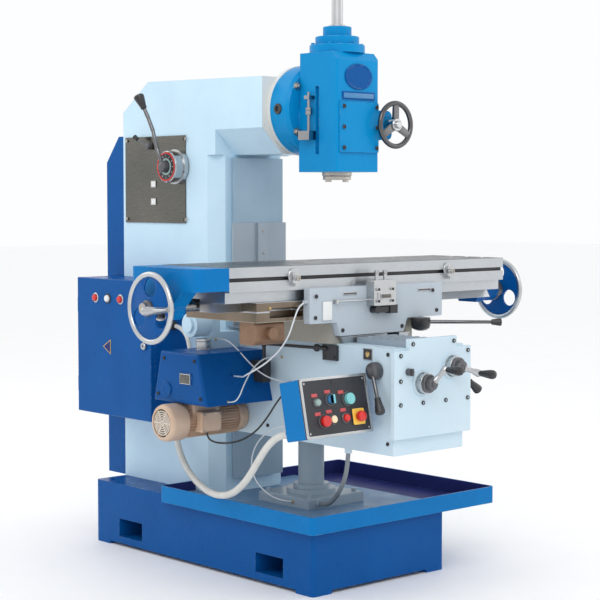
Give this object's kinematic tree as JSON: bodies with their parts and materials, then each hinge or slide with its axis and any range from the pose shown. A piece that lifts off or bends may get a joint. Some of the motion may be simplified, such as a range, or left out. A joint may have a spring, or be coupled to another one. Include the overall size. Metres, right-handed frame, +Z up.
{
  "type": "vertical milling machine",
  "caption": "Knee-type vertical milling machine with swivel head, T-slotted table on saddle and knee, handwheels, feed drive, cabinet, pendant and coolant tray.",
  "frame": {"origin": "on the floor, at the centre of the base's four anchor holes", "axes": "+X to the operator's right, +Y away from the operator towards the column, +Z up"},
  "size_m": [1.702, 1.5793, 1.828],
  "materials": {
    "royal_blue": "gloss enamel over casting",
    "azure_blue": "gloss enamel",
    "pale_blue": "gloss enamel over casting",
    "light_grey": "semi-gloss enamel",
    "white_enamel": "gloss enamel over casting",
    "guard_grey": "satin",
    "ground_iron": "ground and scraped",
    "turned_steel": "turned",
    "chrome": "polished",
    "blackened": "black oxide",
    "knob_black": "moulded",
    "motor_tan": "cast, lacquered",
    "copper_brown": "aged enamel",
    "panel_steel": "dark brushed plate",
    "panel_dark": "printed plate in a light frame",
    "button_red": "moulded",
    "button_cyan": "moulded",
    "button_cream": "moulded",
    "button_blue": "moulded",
    "hose_white": "corrugated sleeve",
    "hose_grey": "smooth hose",
    "tube_clear": "nylon tube"
  },
  "bodies": {
    "frame": {"base": "royal_blue", "coolant_tray": "azure_blue", "screw_column": "light_grey", "column": "pale_blue", "rear_cover": "royal_blue", "main_motor": "guard_grey", "electrical_cabinet": "royal_blue", "speed_panel": "panel_steel"},
    "cabinet_door": {"cabinet_door": "royal_blue"},
    "speed_dial": {"speed_dial": "chrome"},
    "speed_lever": {"speed_lever": "knob_black"},
    "range_lever": {"range_lever": "knob_black"},
    "drive_shaft": {"drive_shaft": "turned_steel"},
    "head": {"head_housing": "azure_blue", "head_cover": "azure_blue", "top_cap": "azure_blue", "depth_stop": "turned_steel"},
    "quill": {"quill": "turned_steel"},
    "spindle": {"spindle": "turned_steel", "drawbar": "turned_steel"},
    "drive_gear": {"drive_gear": "turned_steel"},
    "quill_wheel": {"quill_wheel": "chrome"},
    "knee": {"knee": "white_enamel", "knee_front_plate": "white_enamel", "way_guard": "guard_grey", "knee_way_cover": "guard_grey", "feed_case": "royal_blue", "feed_motor": "motor_tan", "feed_bracket": "pale_blue", "feed_link": "blackened", "pendant_box": "azure_blue", "pendant_panel": "panel_dark", "pendant_conduit": "hose_white", "grey_hose": "hose_grey", "oil_tube": "tube_clear"},
    "elevating_screw": {"elevating_screw": "turned_steel"},
    "lift_crank": {"lift_crank": "blackened"},
    "cross_feed": {"cross_crank": "blackened", "cross_screw": "turned_steel"},
    "rapid_knob": {"rapid_knob": "blackened"},
    "left_lever": {"left_lever": "blackened"},
    "right_lever": {"right_lever": "blackened"},
    "start_button": {"start_button": "button_cream"},
    "stop_button": {"stop_button": "button_red"},
    "jog_button": {"jog_button": "button_cyan"},
    "emergency_stop": {"emergency_stop": "button_red"},
    "mode_switch": {"mode_switch": "button_blue"},
    "saddle": {"saddle": "light_grey", "saddle_apron": "light_grey", "trip_box": "light_grey", "feed_reverse": "copper_brown"},
    "trip_lever": {"trip_lever": "knob_black"},
    "feed_lever": {"feed_lever": "blackened"},
    "table": {"table": "ground_iron", "left_bracket": "azure_blue", "right_bracket": "azure_blue", "table_dogs": "turned_steel"},
    "table_screw": {"table_screw": "turned_steel", "left_wheel": "chrome", "right_wheel": "chrome"}
  },
  "joints": [
    {"name": "knee_lift", "type": "slide", "parent": "frame", "child": "knee", "axis": [0, 0, 1], "range_m": [-0.17, 0.15], "deforming": ["pendant_conduit", "grey_hose"]},
    {"name": "cross_slide", "type": "slide", "parent": "knee", "child": "saddle", "axis": [0, 1, 0], "range_m": [-0.12, 0.12], "deforming": ["oil_tube"]},
    {"name": "table_slide", "type": "slide", "parent": "saddle", "child": "table", "axis": [1, 0, 0], "range_m": [-0.3, 0.155]},
    {"name": "table_screw_turn", "type": "hinge", "parent": "table", "child": "table_screw", "pos_m": [0.019, -0.36, 0.879], "axis": [1, 0, 0], "range_deg": [-18000, 9300]},
    {"name": "cross_screw_turn", "type": "hinge", "parent": "knee", "child": "cross_feed", "pos_m": [0.075, -0.7, 0.69], "axis": [0, 1, 0], "range_deg": [-7200, 7200]},
    {"name": "lift_crank_turn", "type": "hinge", "parent": "knee", "child": "lift_crank", "pos_m": [-0.052, -0.7, 0.648], "axis": [0, 1, 0], "range_deg": [-10200, 9000]},
    {"name": "elevating_screw_turn", "type": "hinge", "parent": "knee", "child": "elevating_screw", "pos_m": [0, -0.24, 0.5], "axis": [0, 0, 1], "range_deg": [-10200, 9000]},
    {"name": "head_swivel", "type": "hinge", "parent": "frame", "child": "head", "pos_m": [0, -0.25, 1.473], "axis": [0, 1, 0], "range_deg": [-45, 45]},
    {"name": "quill_feed", "type": "slide", "parent": "head", "child": "quill", "axis": [0, 0, -1], "range_m": [0, 0.085]},
    {"name": "spindle_spin", "type": "hinge", "parent": "quill", "child": "spindle", "pos_m": [0, -0.36, 1.3], "axis": [0, 0, 1], "continuous": true},
    {"name": "drive_gear_spin", "type": "hinge", "parent": "head", "child": "drive_gear", "pos_m": [0, -0.36, 1.52], "axis": [0, 0, 1], "continuous": true},
    {"name": "drive_shaft_spin", "type": "hinge", "parent": "frame", "child": "drive_shaft", "pos_m": [0, 0, 1.473], "axis": [0, 1, 0], "continuous": true},
    {"name": "quill_wheel_turn", "type": "hinge", "parent": "head", "child": "quill_wheel", "pos_m": [0.128, -0.48, 1.423], "axis": [0, 1, 0], "range_deg": [-2, 380]},
    {"name": "cabinet_door_swing", "type": "hinge", "parent": "frame", "child": "cabinet_door", "pos_m": [-0.3093, 0.6143, 0.688], "axis": [0, 0, -1], "range_deg": [0, 110]},
    {"name": "speed_dial_turn", "type": "hinge", "parent": "frame", "child": "speed_dial", "pos_m": [-0.2, 0.244, 1.298], "axis": [1, 0, 0], "range_deg": [-170, 170]},
    {"name": "speed_lever_turn", "type": "hinge", "parent": "frame", "child": "speed_lever", "pos_m": [-0.24, 0.244, 1.298], "axis": [1, 0, 0], "range_deg": [-60, 60]},
    {"name": "range_lever_turn", "type": "hinge", "parent": "frame", "child": "range_lever", "pos_m": [-0.18, 0.394, 1.37], "axis": [1, 0, 0], "range_deg": [-35, 35]},
    {"name": "rapid_knob_turn", "type": "hinge", "parent": "knee", "child": "rapid_knob", "pos_m": [-0.108, -0.78, 0.684], "axis": [0, 1, 0], "range_deg": [-45, 45]},
    {"name": "left_lever_turn", "type": "hinge", "parent": "knee", "child": "left_lever", "pos_m": [-0.16, -0.695, 0.684], "axis": [1, 0, 0], "range_deg": [-25, 10]},
    {"name": "right_lever_turn", "type": "hinge", "parent": "knee", "child": "right_lever", "pos_m": [0.16, -0.695, 0.684], "axis": [1, 0, 0], "range_deg": [-25, 25]},
    {"name": "feed_lever_turn", "type": "hinge", "parent": "saddle", "child": "feed_lever", "pos_m": [0.173, -0.561, 0.8], "axis": [0, 0, 1], "range_deg": [-25, 25]},
    {"name": "trip_lever_turn", "type": "hinge", "parent": "saddle", "child": "trip_lever", "pos_m": [-0.026, -0.56, 0.853], "axis": [0, 1, 0], "range_deg": [0, 15]},
    {"name": "start_button_press", "type": "slide", "parent": "knee", "child": "start_button", "axis": [0, 0.9781, -0.2079], "range_m": [0, 0.004], "stiffness_N_per_m": 500},
    {"name": "stop_button_press", "type": "slide", "parent": "knee", "child": "stop_button", "axis": [0, 0.9781, -0.2079], "range_m": [0, 0.004], "stiffness_N_per_m": 500},
    {"name": "jog_button_press", "type": "slide", "parent": "knee", "child": "jog_button", "axis": [0, 0.9781, -0.2079], "range_m": [0, 0.004], "stiffness_N_per_m": 500},
    {"name": "emergency_stop_press", "type": "slide", "parent": "knee", "child": "emergency_stop", "axis": [0, 0.9781, -0.2079], "range_m": [0, 0.004], "stiffness_N_per_m": 800},
    {"name": "mode_switch_turn", "type": "hinge", "parent": "knee", "child": "mode_switch", "pos_m": [-0.341, -0.69584, 0.61456], "axis": [0, 0.9781, -0.2079], "range_deg": [-45, 45]}
  ],
  "couplings": [
    {"joint": "table_slide", "follows": "table_screw_turn", "m_per_rad": 0.00095493},
    {"joint": "cross_screw_turn", "follows": "cross_slide", "rad_per_m": 1047.2},
    {"joint": "lift_crank_turn", "follows": "knee_lift", "rad_per_m": 1047.2},
    {"joint": "elevating_screw_turn", "follows": "knee_lift", "rad_per_m": 1047.2},
    {"joint": "quill_wheel_turn", "follows": "quill_feed", "rad_per_m": 73.9},
    {"joint": "drive_gear_spin", "follows": "spindle_spin", "ratio": 1},
    {"joint": "drive_shaft_spin", "follows": "spindle_spin", "ratio": 1}
  ]
}
